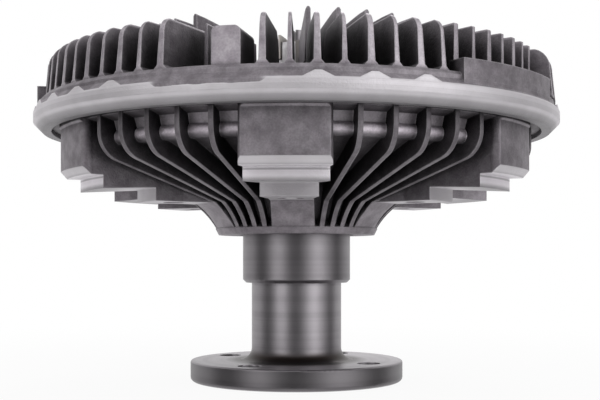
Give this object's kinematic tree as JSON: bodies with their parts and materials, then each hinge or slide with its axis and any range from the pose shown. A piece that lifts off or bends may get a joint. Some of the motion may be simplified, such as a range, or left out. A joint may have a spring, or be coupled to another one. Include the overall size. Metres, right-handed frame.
{
  "type": "viscous fan clutch",
  "caption": "Viscous fan clutch: a flanged shaft drives a sealed, finned housing that carries a bolted fan, with the fluid coupling governed by a bimetal coil valve.",
  "frame": {"origin": "centre of the flange's mounting face", "axes": "+Z along the shaft from the flange towards the finned cover, -Y towards the viewer of the picture"},
  "size_m": [0.2496, 0.2496, 0.17],
  "materials": {
    "shaft_steel": "dark turned steel",
    "bearing_steel": "ground steel",
    "ball_steel": "polished steel",
    "cage_brass": "plain brass",
    "seal_rubber": "black rubber",
    "spring_steel": "blued spring steel",
    "cast_body": "as-cast, turned on the ends of the pads",
    "rotor_aluminium": "turned aluminium",
    "fastener_steel": "plated steel",
    "cast_cover": "as-cast, turned on the rim",
    "sheet_steel": "stamped steel",
    "bimetal_strip": "dull bimetal strip"
  },
  "bodies": {
    "drive": {"drive_flange": "shaft_steel", "input_shaft": "shaft_steel", "bearing_inner_race": "bearing_steel", "clutch_rotor": "rotor_aluminium", "rotor_washer": "spring_steel", "rotor_nut": "fastener_steel"},
    "ball_cage": {"bearing_balls": "ball_steel", "bearing_cage": "cage_brass"},
    "housing": {"bearing_outer_race": "bearing_steel", "lower_bearing_seal": "seal_rubber", "upper_bearing_seal": "seal_rubber", "bearing_retaining_ring": "spring_steel", "housing_body": "cast_body", "cover": "cast_cover", "cover_seal_ring": "seal_rubber", "reservoir_plate": "sheet_steel", "plate_screws": "fastener_steel", "valve_bush": "cage_brass", "bimetal_coil": "bimetal_strip", "coil_bracket": "sheet_steel", "bracket_screws": "fastener_steel"},
    "valve": {"valve_shaft": "shaft_steel", "valve_arm": "sheet_steel", "valve_shaft_seal": "seal_rubber"}
  },
  "joints": [
    {"name": "housing_spin", "type": "hinge", "parent": "drive", "child": "housing", "pos_m": [0, 0, 0.0854], "axis": [0, 0, 1], "continuous": true},
    {"name": "cage_spin", "type": "hinge", "parent": "drive", "child": "ball_cage", "pos_m": [0, 0, 0.0854], "axis": [0, 0, 1], "continuous": true},
    {"name": "valve_turn", "type": "hinge", "parent": "housing", "child": "valve", "pos_m": [0, 0, 0.15], "axis": [0, 0, 1], "range_deg": [0, 30], "stiffness_Nm_per_rad": 0.05, "deforming": ["bimetal_coil"]}
  ],
  "couplings": [
    {"joint": "cage_spin", "follows": "housing_spin", "ratio": 0.5913}
  ]
}
